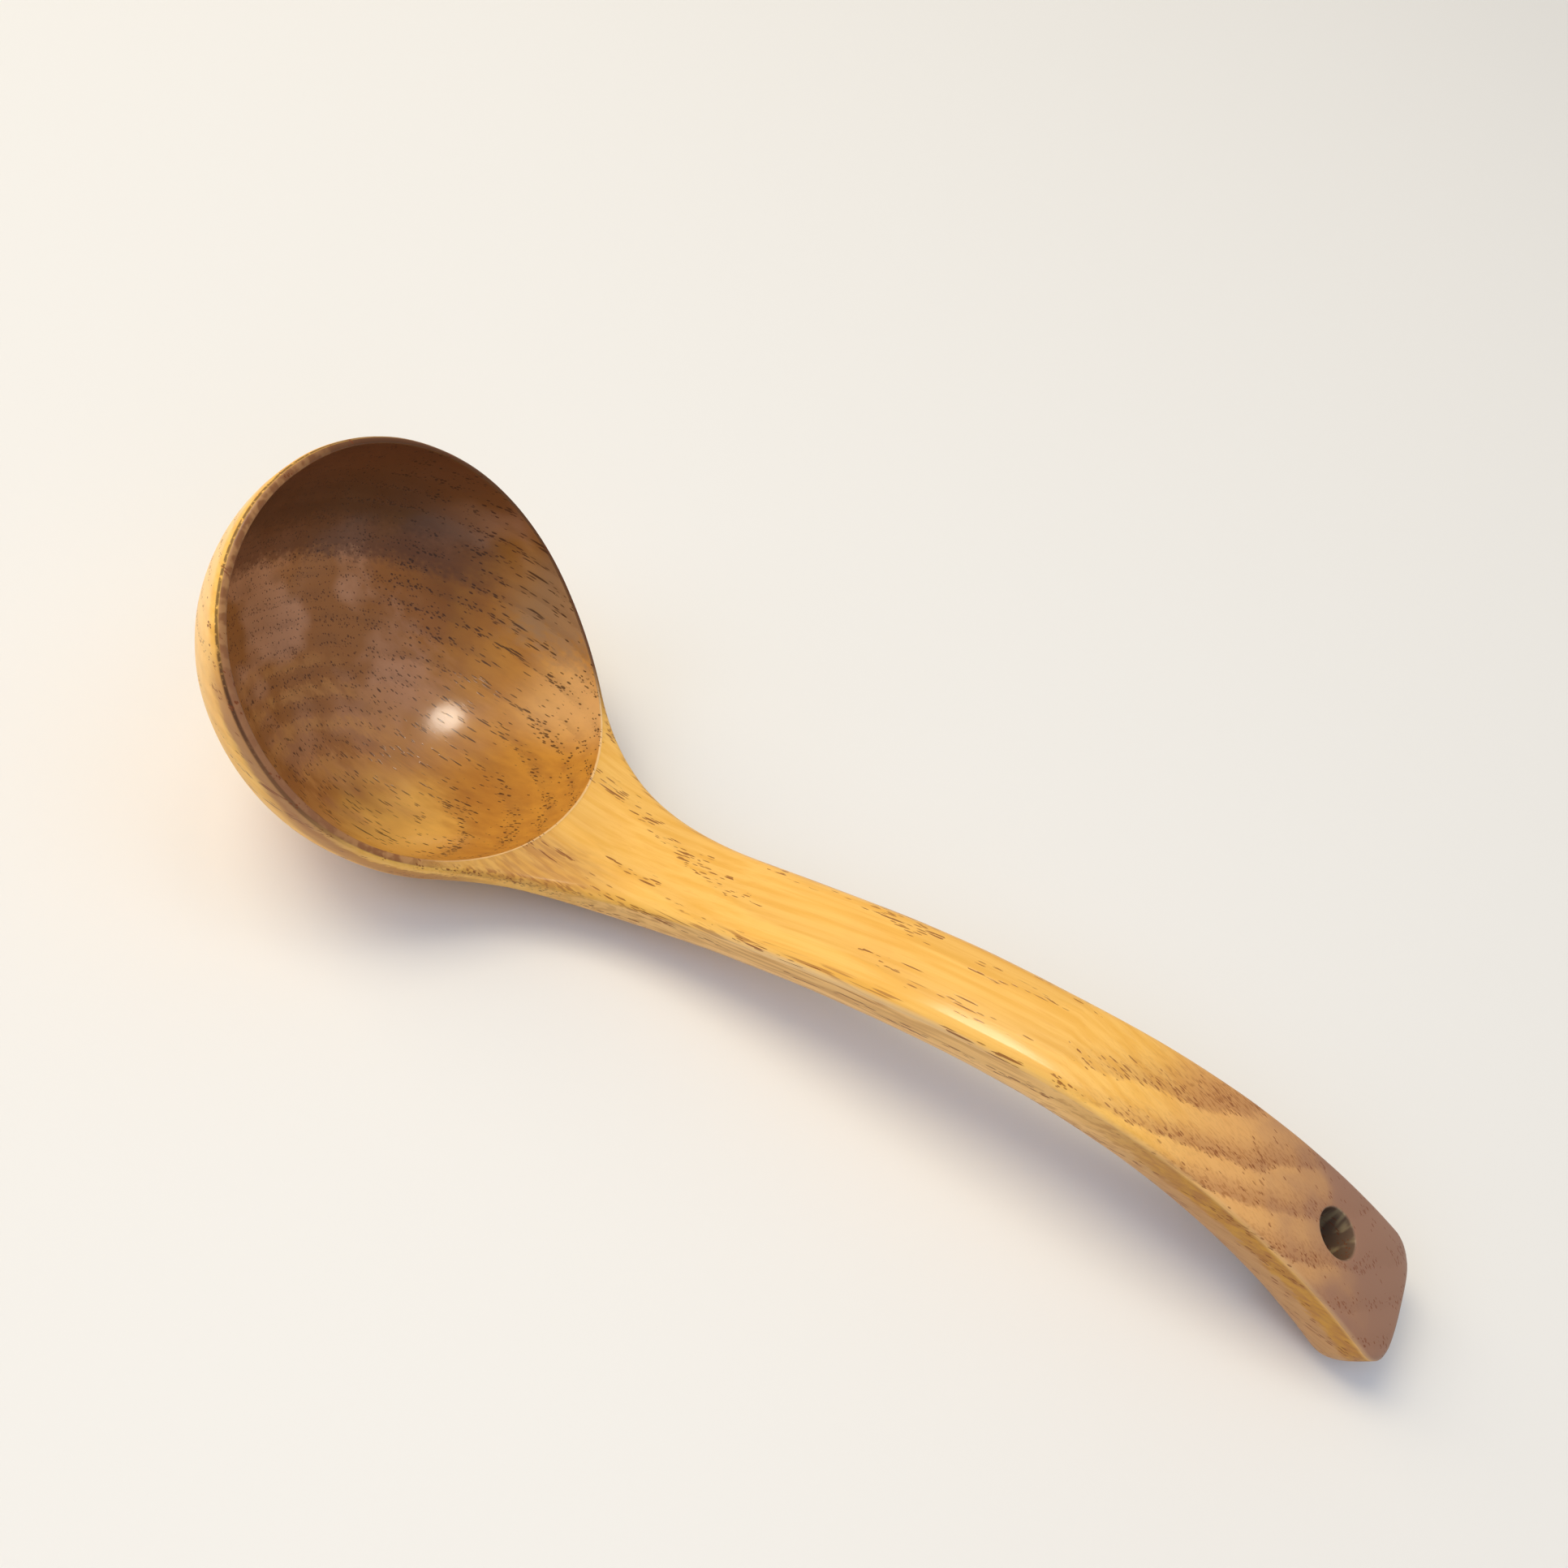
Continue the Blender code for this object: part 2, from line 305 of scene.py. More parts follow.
def outline(angles, strip_s, strip_y):
    """The closed plan outline, as a fine polyline."""
    s, y = rim_point(angles[STRIP_COLUMNS + 1:])
    left = np.stack([strip_s[:, 0], strip_y[:, 0]], axis=-1)
    end = np.stack([strip_s[-1], strip_y[-1]], axis=-1)
    right = np.stack([strip_s[::-1, -1], strip_y[::-1, -1]], axis=-1)
    rim = np.stack([s, y], axis=-1)
    return np.concatenate([left, end[1:-1], right, rim])


def outline_distance(s, y, line):
    """Distance from plan points to the outline."""
    start = line
    edge = np.roll(line, -1, axis=0) - line
    keep = (edge ** 2).sum(axis=1) > SHORTEST_SQUARED
    start, edge = start[keep], edge[keep]
    p = np.stack([np.ravel(s), np.ravel(y)], axis=-1)[:, None, :] - start[None, :, :]
    t = np.clip((p * edge).sum(axis=-1) / (edge ** 2).sum(axis=-1), 0.0, 1.0)
    best = np.linalg.norm(p - t[..., None] * edge, axis=-1).min(axis=1)
    return best.reshape(np.shape(s))


class Mesh:
    """Rows of points joined into one closed quad mesh, with a few masks kept per point."""

    def __init__(self):
        self.points, self.faces = [], []
        self.masks = {"cavity": [], "bore": [], "lip": [], "edge": []}
        self.count = 0

    def add(self, points, cavity=0.0, bore=0.0, lip=0.0, edge=WELL_INSIDE):
        """Edge is the way from the outline: inwards on top, and negative down the side."""
        points = np.asarray(points).reshape(-1, 3)
        ids = np.arange(self.count, self.count + len(points))
        self.points.append(points)
        values = {"cavity": cavity, "bore": bore, "lip": lip, "edge": edge}
        for name, value in values.items():
            self.masks[name].append(np.broadcast_to(value, len(points)))
        self.count += len(points)
        return ids

    def join(self, a, b, closed=True):
        """Quads between two rows of vertex ids of the same length."""
        n = len(a)
        for j in range(n if closed else n - 1):
            k = (j + 1) % n
            self.faces.append((a[j], a[k], b[k], b[j]))

    def fan(self, pole, ring):
        for j in range(len(ring)):
            self.faces.append((pole, ring[(j + 1) % len(ring)], ring[j]))

    def sheet(self, rows, skip):
        """Quads over rows of ids, leaving out the block of cells (rows, columns) in skip."""
        first, last, left, right = skip
        for i in range(len(rows) - 1):
            for j in range(len(rows[i]) - 1):
                if first <= i < last and left <= j < right:
                    continue
                self.faces.append((rows[i][j], rows[i][j + 1], rows[i + 1][j + 1], rows[i + 1][j]))


def block_loop(grid, skip):
    """The entries of a grid round the edge of a block, in order."""
    first, last, left, right = skip
    out = [grid[first][j] for j in range(left, right)]
    out += [grid[i][right] for i in range(first, last)]
    out += [grid[last][j] for j in range(right, left, -1)]
    return np.array(out + [grid[i][left] for i in range(last, first, -1)])


class Ladle:
    """The plan grid and its two surfaces, as one mesh."""

    def __init__(self, profile):
        self.profile = profile
        self.mesh = Mesh()
        self.angles = rim_angles()
        self.s, self.y = strip_plan(self.angles)
        self.line = outline(self.angles, self.s, self.y)
        self.rim_s, self.rim_y = rim_point(self.angles)

    def top(self, s, y):
        """Height of the lip and the handle's top face."""
        gap = outline_distance(s, y, self.line)
        u = np.clip(gap / edge_wide(s), 0.0, 1.0)
        rounded = edge_high(s) * (np.sqrt(1.0 - (1.0 - u) ** 2) - 1.0)
        handle = ease((s - CROWN_FROM) / CROWN_LENGTH)
        across = np.clip(np.abs(y) / half_width(np.clip(s, 0.0, PROFILE_END)), 0.0, 1.0)
        return rounded + CROWN * handle * (1.0 - across ** 3) * u

    def under(self, s, y):
        """Height of the underside."""
        blend = ease((s - SQUARER_FROM) / SQUARER_LENGTH)
        power = UNDER_POWER + UNDER_SQUARER * blend
        across = np.clip(np.abs(y) / np.maximum(half_width(s), NARROWEST), 0.0, 1.0)
        low = np.maximum(depth(s) - edge_high(s), 0.0)
        return -low * (1.0 - across ** power) ** (1.0 / power) * end_drop(s) - edge_high(s)

    def add_top(self, s, y, lip=0.0):
        """A row of points on the top surface."""
        gap = outline_distance(s, y, self.line)
        high = np.where(gap < ON_LINE, -edge_high(s), self.top(s, y))
        return self.mesh.add(self.profile.place(s, y, high), edge=gap, lip=lip)

    def add_under(self, s, y):
        """A row of points on the underside."""
        high = self.under(s, y)
        return self.mesh.add(self.profile.place(s, y, high), edge=high + edge_high(s))

    def rim(self):
        """Shared outline of the bowl, and where the two surfaces part inside the handle."""
        on_line = outline_distance(self.rim_s, self.rim_y, self.line) < ON_LINE
        top_ring = self.add_top(self.rim_s, self.rim_y)
        under_ring = top_ring.copy()
        inside = np.nonzero(~on_line)[0]
        under_ring[inside] = self.add_under(self.rim_s[inside], self.rim_y[inside])
        return top_ring, under_ring

    def lip(self, ring):
        """From the outline in to the edge of the cavity."""
        thin = 1.0 - FAR_LIP_THIN * np.clip(np.sin(self.angles), 0.0, 1.0)
        in_s, in_y = rim_point(self.angles, LIP_WIDTH * thin)
        for k in range(1, LIP_RINGS + 1):
            u = 1.0 - math.cos(0.5 * math.pi * k / LIP_RINGS)
            s = self.rim_s + (in_s - self.rim_s) * u
            y = self.rim_y + (in_y - self.rim_y) * u
            new = self.add_top(s, y, lip=u)
            self.mesh.join(ring, new)
            ring = new
        return ring, self.profile.place(in_s, in_y, self.top(in_s, in_y))

    def cavity(self, ring, edge):
        up = self.profile.normal(CAVITY_LEVEL_AT)
        centre = self.profile.place(np.array(BOWL_DEEPEST), 0.0, 0.0)
        rise = (edge - centre) @ up
        flat = edge - centre - rise[:, None] * up
        out = flat / np.linalg.norm(flat, axis=1)[:, None]
        deep = BOWL_DEPTH - WALL
        for turn in np.linspace(0.0, 0.5 * math.pi, INNER_RINGS + 1)[1:]:
            back = -INNER_ROUND * math.sin(turn)
            drop = INNER_ROUND * (1.0 - math.cos(turn))
            inside = turn / (0.5 * math.pi)
            new = self.mesh.add(edge + out * back - up * drop, cavity=inside, lip=1.0 - inside)
            self.mesh.join(ring, new)
            ring = new
        for lean in np.linspace(CAVITY_LEAN, 0.0, CAVITY_RINGS + 1)[:-1]:
            lift = rise * math.sin(lean) ** 2 - deep * math.cos(lean)
            inner = flat - out * INNER_ROUND
            new = self.mesh.add(centre + inner * math.sin(lean) + lift[:, None] * up, cavity=1.0)
            self.mesh.join(ring, new)
            ring = new
        self.mesh.fan(self.mesh.add(centre - up * deep, cavity=1.0)[0], ring[::-1])

    def bowl_back(self, ring):
        """The underside of the bowl, as rings round its deepest point."""
        for lean in np.linspace(0.5 * math.pi, 0.0, BOTTOM_RINGS + 1)[1:-1]:
            s = BOWL_DEEPEST + (self.rim_s - BOWL_DEEPEST) * math.sin(lean)
            y = self.rim_y * math.sin(lean)
            new = self.add_under(s, y)
            self.mesh.join(new, ring)
            ring = new
        pole = self.profile.place(np.array(BOWL_DEEPEST), 0.0, -BOWL_DEPTH)
        self.mesh.fan(self.mesh.add(pole, edge=-BOWL_DEPTH)[0], ring)

    def handle(self, top_row, under_row):
        """Two sheets that share the handle's outline, with a block left out for the bore."""
        tops, unders = [top_row], [under_row]
        last = len(self.s) - 1
        for i in range(1, last + 1):
            s, y = self.s[i], self.y[i]
            top = self.add_top(s, y)
            under = top.copy()
            if i < last:
                under[1:-1] = self.add_under(s[1:-1], y[1:-1])
            tops.append(top)
            unders.append(under)
        skip = self.bore_block()
        self.mesh.sheet(tops, skip)
        self.mesh.sheet(unders, skip)
        self.bore(tops, unders, skip)

    def bore_block(self):
        """Rows and columns of the grid cells that the bore's surround takes the place of."""
        middle = STRIP_COLUMNS // 2
        rows = np.nonzero(np.abs(self.s[:, middle] - HOLE_AT) < BORE_BLOCK)[0]
        across = np.nonzero(np.abs(self.y[rows[0]]) < BORE_BLOCK)[0]
        return rows[0], rows[-1], across[0], across[-1]

    def bore_circle(self, radius, turns, height):
        """Plan points and lift of a circle round the bore's axis, lying on a surface."""
        axis = self.profile.frame(HOLE_AT)
        lift = np.zeros(len(turns))
        for _ in range(BORE_ROUNDS):
            world = bore_point(axis, radius, turns, lift)
            s, y, h = self.profile.plan(world, HOLE_AT)
            lift = lift + height(s, y) - h
        return s, y, lift

    def surround(self, ids, plan, circle, add):
        """Rings from the edge of the block in to the bore."""
        for k in range(1, BORE_RINGS + 1):
            u = k / BORE_RINGS
            s = plan[0] + (circle[0] - plan[0]) * u
            y = plan[1] + (circle[1] - plan[1]) * u
            new = add(s, y)
            self.mesh.join(ids, new)
            ids = new
        return ids

    def bore(self, tops, unders, skip):
        plan = block_loop(self.s, skip), block_loop(self.y, skip)
        turns = np.arctan2(plan[1], plan[0] - HOLE_AT)
        mouth = HOLE_RADIUS + HOLE_ROUND
        above = self.bore_circle(mouth, turns, self.top)
        below = self.bore_circle(mouth, turns, self.under)
        ring = self.surround(block_loop(tops, skip), plan, above, self.add_top)
        end = self.surround(block_loop(unders, skip), plan, below, self.add_under)
        axis = self.profile.frame(HOLE_AT)
        rounding = np.linspace(0.0, 0.5 * math.pi, BORE_ROUNDING + 1)[1:]
        steps = []
        for turn in rounding:
            drop = HOLE_ROUND * (1.0 - math.cos(turn))
            steps.append((mouth - HOLE_ROUND * math.sin(turn), above[2] - drop))
        for u in np.linspace(0.0, 1.0, BORE_STEPS + 1)[1:-1]:
            lift = (above[2] - HOLE_ROUND) * (1.0 - u) + (below[2] + HOLE_ROUND) * u
            steps.append((HOLE_RADIUS, lift))
        for turn in rounding[::-1]:
            drop = HOLE_ROUND * (1.0 - math.cos(turn))
            steps.append((mouth - HOLE_ROUND * math.sin(turn), below[2] + drop))
        for radius, lift in steps:
            inside = 1.0 - (radius - HOLE_RADIUS) / HOLE_ROUND
            new = self.mesh.add(bore_point(axis, radius, turns, lift), bore=inside)
            self.mesh.join(ring, new)
            ring = new
        self.mesh.join(ring, end)

    def build(self):
        top_ring, under_ring = self.rim()
        self.cavity(*self.lip(top_ring))
        self.bowl_back(under_ring)
        sector = slice(0, STRIP_COLUMNS + 1)
        self.handle(top_ring[sector], under_ring[sector])
        masks = {name: np.concatenate(rows) for name, rows in self.mesh.masks.items()}
        return np.concatenate(self.mesh.points), masks, self.mesh.faces


def bore_point(axis, radius, turns, lift):
    """Points round the bore's axis, where lift is the height along it."""
    centre, along, up = axis
    flat = np.cos(turns)[:, None] * along * radius
    flat[:, 1] += np.sin(turns) * radius
    return centre + flat + np.reshape(lift, (-1, 1)) * up


def carve(mesh):
    """Low, slow unevenness, as sanding by hand leaves, and the flat where the bowl rests."""
    normals = [vertex.normal.copy() for vertex in mesh.vertices]
    for vertex, normal in zip(mesh.vertices, normals):
        place = vertex.co * CARVED_GRAIN
        finer = noise.noise(place * CARVED_FINER + Vector(CARVED_SHIFT))
        lift = noise.noise(place) + 0.5 * finer
        vertex.co += normal * lift * CARVED
        vertex.co.z = max(vertex.co.z, 0.0)


def stand(points, low, high):
    """Turn and shift the ladle onto the plane it rests on, and to the CAD part's box."""
    for _ in range(STAND_ROUNDS):
        bowl = points[np.argmin(np.where(points[:, 0] < BOWL_SIDE, points[:, 2], 1.0))]
        tip = points[np.argmin(np.where(points[:, 0] > BOWL_SIDE, points[:, 2], 1.0))]
        turn = math.atan2(tip[2] - bowl[2], tip[0] - bowl[0])
        x, z = points[:, 0].copy(), points[:, 2].copy()
        points[:, 0] = x * math.cos(turn) + z * math.sin(turn)
        points[:, 2] = z * math.cos(turn) - x * math.sin(turn)
    points[:, 0] += 0.5 * (low.x + high.x - points[:, 0].min() - points[:, 0].max())
    points[:, 2] += high.z - points[:, 2].max()
    return points


def build_ladle(low, high):
    points, masks, faces = Ladle(Profile()).build()
    points = stand(points, low, high)
    mesh = bpy.data.meshes.new("ladle_wood")
    mesh.from_pydata(points.tolist(), [], [tuple(int(i) for i in face) for face in faces])
    tidy = bmesh.new()
    tidy.from_mesh(mesh)
    bmesh.ops.recalc_face_normals(tidy, faces=tidy.faces)
    tidy.to_mesh(mesh)
    tidy.free()
    for name, values in masks.items():
        mask = mesh.attributes.new(name, "FLOAT", "POINT")
        mask.data.foreach_set("value", values.astype(np.float32))
    carve(mesh)
    mesh.shade_smooth()
    obj = bpy.data.objects.new("ladle_wood", mesh)
    bpy.context.scene.collection.objects.link(obj)
    return obj


# ---- the wood ---------------------------------------------------------------------------------

class Nodes:
    """Short names for the shader nodes that the wood is made of."""

    def __init__(self, material):
        material.use_nodes = True
        self.tree = material.node_tree
        self.tree.nodes.clear()

    def node(self, kind, inputs=None, **settings):
        node = self.tree.nodes.new(kind)
        for key, value in settings.items():
            setattr(node, key, value)
        for key, value in (inputs or {}).items():
            self.put(node.inputs[key], value)
        return node

    def put(self, socket, value):
        if isinstance(value, bpy.types.NodeSocket):
            self.tree.links.new(value, socket)
        elif value is not None:
            socket.default_value = value

    def math(self, operation, a, b=None, c=None):
        node = self.node("ShaderNodeMath", {0: a, 1: b, 2: c}, operation=operation)
        return node.outputs[0]

    def total(self, *terms):
        result = terms[0]
        for term in terms[1:]:
            result = self.math("ADD", result, term)
        return result

    def times(self, *factors):
        result = factors[0]
        for factor in factors[1:]:
            result = self.math("MULTIPLY", result, factor)
        return result

    def step(self, value, low, high, to_low=0.0, to_high=1.0):
        """Smooth step of a value from low to high."""
        inputs = {"Value": value, "From Min": low, "From Max": high}
        inputs.update({"To Min": to_low, "To Max": to_high})
        return self.node("ShaderNodeMapRange", inputs, interpolation_type="SMOOTHSTEP").outputs[0]

    def noise(self, vector, scale, detail=2.0):
        inputs = {"Vector": vector, "Scale": scale, "Detail": detail}
        return self.node("ShaderNodeTexNoise", inputs).outputs["Fac"]

    def signed(self, value):
        """A 0..1 noise as -1..1."""
        return self.math("MULTIPLY_ADD", value, 2.0, -1.0)

    def wander(self, value, noise, reach):
        """A value pushed to and fro by a signed noise, by reach at most."""
        return self.total(value, self.times(noise, reach))

    def vector(self, x, y, z):
        return self.node("ShaderNodeCombineXYZ", {"X": x, "Y": y, "Z": z}).outputs[0]

    def mix(self, factor, a, b):
        return self.blend("RGBA", factor, a, b)

    def mix_value(self, factor, a, b):
        return self.blend("FLOAT", factor, a, b)

    def blend(self, kind, factor, a, b):
        node = self.node("ShaderNodeMix", data_type=kind)
        self.put(node.inputs["Factor"], factor)
        self.put(node.inputs["A"], a)
        self.put(node.inputs["B"], b)
        return node.outputs["Result"]

    def tint(self, color, tone, amount, *masks):
        """Lay a tone over a colour, at most amount strong, where every mask is 1."""
        return self.mix(self.times(*masks, amount), color, tone)

    def mask(self, name):
        return self.node("ShaderNodeAttribute", attribute_name=name).outputs["Fac"]


def srgb(red, green, blue):
    """A colour given as 0..255 display values."""
    def linear(value):
        value = value / 255.0
        return value / 12.92 if value <= 0.04045 else ((value + 0.055) / 1.055) ** 2.4
    return (linear(red), linear(green), linear(blue), 1.0)


# Colours of the wood under its lacquer.  Two of them also paint light, as marked.
GOLD = srgb(249, 194, 98)
DEEP_GOLD = srgb(240, 180, 78)
ORANGE = srgb(224, 152, 68)
OLIVE = srgb(204, 148, 52)
# Pale colour that paints light: highlights on the handle's crease and on the cavity's edge by the
# neck, and light on the far end of the bowl's outside.
PALE_PAINTED_LIGHT = srgb(246, 206, 146)
SIDE_TAN = srgb(246, 196, 126)
SIDE_BROWN = srgb(168, 106, 52)
SIDE_ROSE = srgb(170, 120, 86)
TIP_TAN = srgb(222, 164, 104)
TIP_BAND = srgb(170, 112, 72)
TIP_MAUVE = srgb(164, 120, 94)
MAUVE = srgb(218, 160, 116)
UMBER = srgb(182, 120, 62)
RUSSET = srgb(174, 108, 42)
DEEP_RUSSET = srgb(140, 84, 28)
# Rosy wood, painted lighter as a sheen round the lacquer's highlight.
ROSE_AND_SHEEN = srgb(242, 190, 124)
CAVITY_GOLD = srgb(212, 146, 54)
BRIGHT_GOLD = srgb(248, 190, 92)
DARK = srgb(120, 74, 44)
DARKEST = srgb(72, 42, 26)
SMOKE = srgb(88, 58, 46)
ASH = srgb(176, 138, 98)
DARK_ASH = srgb(132, 90, 58)
ARC_TAN = srgb(220, 156, 84)
EARLY = srgb(120, 78, 50)
LIP_TAN = srgb(148, 96, 56)
LIP_PALE = srgb(182, 130, 80)
LIP_DARK = srgb(104, 64, 36)
LIP_MAUVE = srgb(92, 54, 38)
LIP_ROSE = srgb(156, 106, 72)
PORE = srgb(62, 36, 22)
HANDLE_PORE = srgb(126, 60, 22)
BORE_DARK = srgb(110, 88, 70)
BORE_OLIVE = srgb(158, 138, 104)

# How the tree lay in the plank, in millimetres.
WAVE_START = 10.0             # the fibres rise and fall along the ladle
WAVE_HALF = 125.0
WAVE_HEIGHT = 5.77
RING_TILT = (0.343, 0.94)     # the growth rings' normal, across and up
RING_FIRST = 17.1
RING_SPACING = 3.4
RING_SLOW = 1.2               # how far the rings stray, slowly and in feathered edges
RING_FEATHER = 1.0
HANDLE_FEATHER = 0.4
SWELL = 1.8                   # how far the rings shift where the handle leaves the bowl
VEER_FROM = 45.0              # by the tip the fibres run aslant across the handle
VEER = 0.30
PORE_ROWS = 1.25              # between rows of fine pores in the bowl

# Noise drawn out along the fibres: length and width of a cell in millimetres, shift, detail.
LONG_STREAKS = (26.0, 1.4, 0.0, 3.0)
FINE_STREAKS = (12.0, 0.30, 7.0, 1.0)
RING_EDGES = (5.0, 0.45, 0.0, 2.0)
BROKEN_RINGS = (16.0, 5.0, 27.0, 2.0)
BOWL_MOTTLE = (6.0, 1.8, 21.0, 3.0)
BOWL_FEATHER = (2.2, 0.9, 3.0, 2.0)
TIP_FLECKS = (3.4, 0.34, 51.0, 1.0)
SIDE_WOBBLE = (4.0, 1.0, 9.0, 2.0)
SIDE_STREAKS = (14.0, 0.6, 4.0, 2.0)
SIDE_MOTTLE = (3.0, 1.2, 41.0, 3.0)
CREASE_LINES = (11.0, 0.42, 13.0, 1.0)
CREASE_PATCHES = (14.0, 6.0, 17.0, 1.0)
CORNER_RAYS = (6.0, 0.75, 31.0, 3.0)
PORE_PATCHES = (18.0, 4.0, 5.0, 1.0)
FIBRES = (7.0, 0.25, 2.0, 2.0)

# Round noise: cells to a millimetre, and detail.
WIDE_CLOUDS = (0.05, 3.0)
BOWL_CLOUDS = (0.075, 2.0)
RING_CLOUDS = (0.10, 2.0)     # these are drawn out along x
RING_CLOUDS_ALONG = 0.3
TIP_CLOUDS = (0.11, 2.0)
NECK_CLOUDS = (0.16, 2.0)
LIP_CLOUDS = (0.5, 2.0)
LIP_TEETH = (1.4, 2.0)
BORE_STREAKS = (0.55, 0.10)   # cells to a millimetre round the bore, and along it

# Vessels cut open: length and width of the cell that each has, its size in the cell, and shift.
BIG_PORES = (9.0, 0.54, 0.37, 0.0)
SMALL_PORES = (3.0, 0.44, 0.36, 11.0)
PORE_LEAST = 0.75             # a vessel's radius: at least this share of its size, and up to
PORE_MORE = 0.5               # this much more
PORE_EDGE = 0.12

# A spot is full out to this share of its size, and its edge strays this many millimetres.
SPOT_FULL = 0.35
SPOT_STRAY = 4.0

# The lacquer: thickest in the bowl, thinner on the arch, and thin everywhere else.
ROUGHNESS = 0.45
SPECULAR = 0.20
COAT_ROUGHNESS = 0.16
COAT_BOWL = 0.48
COAT_ARCH = 0.27
COAT_THIN = 0.07
BIG_PORE_SHADE = 0.80
TIP_PORE_SHADE = 0.45
SMALL_PORE_SHADE = 0.65
FIBRE_RELIEF = 0.25
BUMP_STRENGTH = 0.25
BUMP_DISTANCE = 0.12 * MM


class Grain:
    """Coordinates in millimetres that follow the tree: x along the fibres, rho across the rings.

    Phase runs from 0 to 1 over each ring, and early is 1 in its early wood.  Edge is the way in from
    the outline, negative down the side.  Lip and cavity are the masks of the same names.
    """

    def __init__(self, nodes):
        self.nodes = n = nodes
        place = n.node("ShaderNodeTexCoord").outputs["Object"]
        scaled = n.node("ShaderNodeVectorMath", {0: place, "Scale": 1.0 / MM}, operation="SCALE")
        self.place = scaled.outputs[0]
        parts = n.node("ShaderNodeSeparateXYZ", {0: self.place}).outputs
        self.x, self.y, self.z = parts[0], parts[1], parts[2]
        self.cavity, self.lip = n.mask("cavity"), n.mask("lip")
        self.edge = n.times(n.mask("edge"), 1.0 / MM)
        self.follow_fibres()
        self.follow_rings()

    def follow_fibres(self):
        n = self.nodes
        turn = n.times(n.total(self.x, -WAVE_START), math.pi / WAVE_HALF)
        height = n.math("SUBTRACT", self.z, n.times(n.math("SINE", turn), WAVE_HEIGHT))
        level = n.total(n.times(self.y, RING_TILT[0]), n.times(height, RING_TILT[1]))
        swell = self.patch(x=(-52.0, -30.0), x_end=(12.0, -12.0))
        self.rho = n.total(level, n.times(swell, SWELL))
        self.side = n.total(n.times(self.y, RING_TILT[1]), n.times(height, -RING_TILT[0]))

    def follow_rings(self):
        n = self.nodes
        drawn_out = n.vector(n.times(self.x, RING_CLOUDS_ALONG), self.y, self.z)
        slow = n.signed(n.noise(drawn_out, *RING_CLOUDS))
        reach = n.mix_value(self.cavity, HANDLE_FEATHER, RING_FEATHER)
        warp = n.total(n.times(slow, RING_SLOW), n.times(self.signed(RING_EDGES), reach))
        ring = n.times(n.total(self.rho, warp, -RING_FIRST), 1.0 / RING_SPACING)
        whole_rings = 100.0   # keeps the count positive
        self.phase = n.math("FRACT", n.total(ring, whole_rings))
        self.early = self.patch(phase=(0.0, 0.14), phase_end=(0.80, 0.14))

    def stretched(self, along, across, shift):
        """Coordinates whose cells are long along the fibres, moved to give another pattern."""
        n = self.nodes
        x = n.total(n.times(self.x, 1.0 / along), shift)
        veer = n.times(n.math("MAXIMUM", n.total(self.x, -VEER_FROM), 0.0), VEER)
        side = n.total(self.side, veer)
        return n.vector(x, n.times(side, 1.0 / across), n.times(self.rho, 1.0 / across))

    def drawn(self, pattern):
        """Noise drawn out along the fibres."""
        along, across, shift, detail = pattern
        return self.nodes.noise(self.stretched(along, across, shift), 1.0, detail)

    def signed(self, pattern):
        return self.nodes.signed(self.drawn(pattern))

    def streaks(self, pattern, low, high):
        """1 where drawn-out noise is above high, and 0 where it is below low."""
        return self.nodes.step(self.drawn(pattern), low, high)

    def clouds(self, pattern, low, high):
        """The same for round noise."""
        return self.nodes.step(self.nodes.noise(self.place, *pattern), low, high)

    def patch(self, **fades):
        """Where a patch lies.  Each pair says where it begins and where it is full: x and x_end
        are its two ends along x, and so on for y, rho, phase, edge, lip and cavity."""
        n = self.nodes
        steps = [n.step(getattr(self, name.split("_")[0]), *pair) for name, pair in fades.items()]
        return n.times(*steps)

    def spot(self, x, y, size, ragged):
        """1 at a plan point, falling to 0 at size from it, with an edge made ragged by a noise."""
        n = self.nodes
        across = n.total(self.y, -y, n.times(ragged, SPOT_STRAY))
        away = n.vector(n.total(self.x, -x), across, 0.0)
        gap = n.node("ShaderNodeVectorMath", {0: away}, operation="LENGTH").outputs["Value"]
        return n.step(gap, size, SPOT_FULL * size)

    def pores(self, pattern, density):
        """Short dark vessels along the fibres; density is the share of cells that hold one."""
        n = self.nodes
        along, across, size, shift = pattern
        cells = {"Vector": self.stretched(along, across, shift), "Scale": 1.0}
        cell = n.node("ShaderNodeTexVoronoi", cells)
        chance = n.node("ShaderNodeSeparateColor", {0: cell.outputs["Color"]}).outputs
        radius = n.total(n.times(chance[1], PORE_MORE * size), PORE_LEAST * size)
        depth = n.math("SUBTRACT", radius, cell.outputs["Distance"])
        held = n.math("LESS_THAN", chance[0], density)
        return n.times(n.step(depth, 0.0, PORE_EDGE), held)


def gold_wood(n, grain):
    """Pale golden wood with faint long streaks and a few warmer clouds."""
    color = n.mix(grain.streaks(LONG_STREAKS, 0.35, 0.70), GOLD, DEEP_GOLD)
    color = n.tint(color, ORANGE, 0.22, grain.streaks(FINE_STREAKS, 0.52, 0.78))
    return n.tint(color, ORANGE, 0.35, grain.clouds(WIDE_CLOUDS, 0.50, 0.75))


